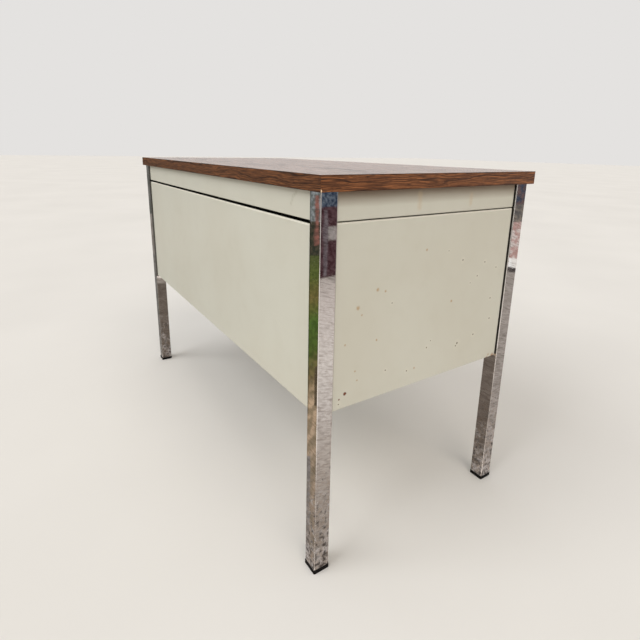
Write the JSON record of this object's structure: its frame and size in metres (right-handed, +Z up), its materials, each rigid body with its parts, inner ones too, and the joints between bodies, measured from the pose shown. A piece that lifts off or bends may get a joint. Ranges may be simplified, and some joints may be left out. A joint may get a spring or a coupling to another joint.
{
  "type": "industrial desk",
  "caption": "Steel desk with a wood-grain top, square chromed legs, enamelled back and end panels, a drawer pedestal and a shallow centre drawer.",
  "frame": {"origin": "on the floor, under the middle of the desk", "axes": "+X along the desk away from the pedestal, +Y from the user towards the visitor, +Z up"},
  "size_m": [1.106, 0.53, 0.7366],
  "materials": {
    "walnut_laminate": "walnut-grain decorative laminate, satin",
    "particle_board": "raw particle board",
    "backer_sheet": "brown phenolic backer sheet",
    "cream_enamel": "semi-gloss stoved enamel on sheet steel, with small rust spots",
    "black_paint": "matt black paint",
    "chrome": "bright chromium plate, pitted near the floor",
    "foot_plastic": "moulded black plastic",
    "satin_aluminium": "satin anodised extrusion",
    "lock_metal": "machined plug",
    "zinc_plate": "bright zinc plate",
    "nylon": "natural nylon"
  },
  "bodies": {
    "desk_frame": {"top_core": "particle_board", "top_laminate": "walnut_laminate", "top_backer": "backer_sheet", "front_edge_band": "walnut_laminate", "back_edge_band": "walnut_laminate", "left_edge_band": "walnut_laminate", "right_edge_band": "walnut_laminate", "front_left_leg": "chrome", "front_right_leg": "chrome", "back_left_leg": "chrome", "back_right_leg": "chrome", "front_left_foot": "foot_plastic", "front_right_foot": "foot_plastic", "back_left_foot": "foot_plastic", "back_right_foot": "foot_plastic", "back_apron": "cream_enamel", "left_apron": "cream_enamel", "right_apron": "cream_enamel", "front_apron": "cream_enamel", "front_rail": "cream_enamel", "left_cross_rail": "cream_enamel", "right_cross_rail": "cream_enamel", "back_panel": "cream_enamel", "back_gap_strip": "black_paint", "left_end_panel": "cream_enamel", "right_end_panel": "cream_enamel", "pedestal_outer_side": "cream_enamel", "pedestal_inner_side": "cream_enamel", "pedestal_back": "cream_enamel", "pedestal_bottom": "cream_enamel", "divider_rail": "cream_enamel", "assembly_bolts": "zinc_plate", "top_screws": "zinc_plate", "case_runners": "zinc_plate", "case_roller_pins": "zinc_plate", "centre_drawer_channels": "zinc_plate"},
    "upper_drawer": {"upper_drawer_body": "cream_enamel", "upper_drawer_front": "cream_enamel", "upper_drawer_front_liner": "cream_enamel", "upper_drawer_pull": "satin_aluminium", "upper_drawer_runners": "zinc_plate", "upper_drawer_roller_pins": "zinc_plate"},
    "lower_drawer": {"lower_drawer_body": "cream_enamel", "lower_drawer_front": "cream_enamel", "lower_drawer_front_liner": "cream_enamel", "lower_drawer_pull": "satin_aluminium", "lower_drawer_runners": "zinc_plate", "lower_drawer_roller_pins": "zinc_plate"},
    "centre_drawer": {"centre_drawer_bottom": "cream_enamel", "centre_drawer_rim": "cream_enamel", "centre_drawer_front": "cream_enamel", "centre_drawer_front_liner": "cream_enamel", "centre_drawer_pull": "satin_aluminium", "lock_barrel": "chrome"},
    "lock": {"lock_plug": "lock_metal", "lock_cam": "zinc_plate"},
    "upper_case_roller_pair": {"upper_case_rollers": "nylon"},
    "lower_case_roller_pair": {"lower_case_rollers": "nylon"},
    "upper_drawer_roller_pair": {"upper_drawer_rollers": "nylon"},
    "lower_drawer_roller_pair": {"lower_drawer_rollers": "nylon"}
  },
  "joints": [
    {"name": "upper_drawer_slide", "type": "slide", "parent": "desk_frame", "child": "upper_drawer", "axis": [0, -1, 0], "range_m": [0, 0.33]},
    {"name": "lower_drawer_slide", "type": "slide", "parent": "desk_frame", "child": "lower_drawer", "axis": [0, -1, 0], "range_m": [0, 0.33]},
    {"name": "centre_drawer_slide", "type": "slide", "parent": "desk_frame", "child": "centre_drawer", "axis": [0, -1, 0], "range_m": [0, 0.3]},
    {"name": "lock_turn", "type": "hinge", "parent": "centre_drawer", "child": "lock", "pos_m": [0.17563, -0.253, 0.6842], "axis": [0, -1, 0], "range_deg": [0, 90]},
    {"name": "upper_case_roller_spin", "type": "hinge", "parent": "desk_frame", "child": "upper_case_roller_pair", "pos_m": [-0.33663, -0.223, 0.5408], "axis": [1, 0, 0], "range_deg": [0, 1806]},
    {"name": "upper_drawer_roller_spin", "type": "hinge", "parent": "upper_drawer", "child": "upper_drawer_roller_pair", "pos_m": [-0.33663, 0.1803, 0.5408], "axis": [1, 0, 0], "range_deg": [0, 1806]},
    {"name": "lower_case_roller_spin", "type": "hinge", "parent": "desk_frame", "child": "lower_case_roller_pair", "pos_m": [-0.33663, -0.223, 0.374], "axis": [1, 0, 0], "range_deg": [0, 1806]},
    {"name": "lower_drawer_roller_spin", "type": "hinge", "parent": "lower_drawer", "child": "lower_drawer_roller_pair", "pos_m": [-0.33663, 0.1803, 0.374], "axis": [1, 0, 0], "range_deg": [0, 1806]}
  ],
  "couplings": [
    {"joint": "upper_case_roller_spin", "follows": "upper_drawer_slide", "rad_per_m": 95.238},
    {"joint": "upper_drawer_roller_spin", "follows": "upper_drawer_slide", "rad_per_m": 95.238},
    {"joint": "lower_case_roller_spin", "follows": "lower_drawer_slide", "rad_per_m": 95.238},
    {"joint": "lower_drawer_roller_spin", "follows": "lower_drawer_slide", "rad_per_m": 95.238}
  ]
}
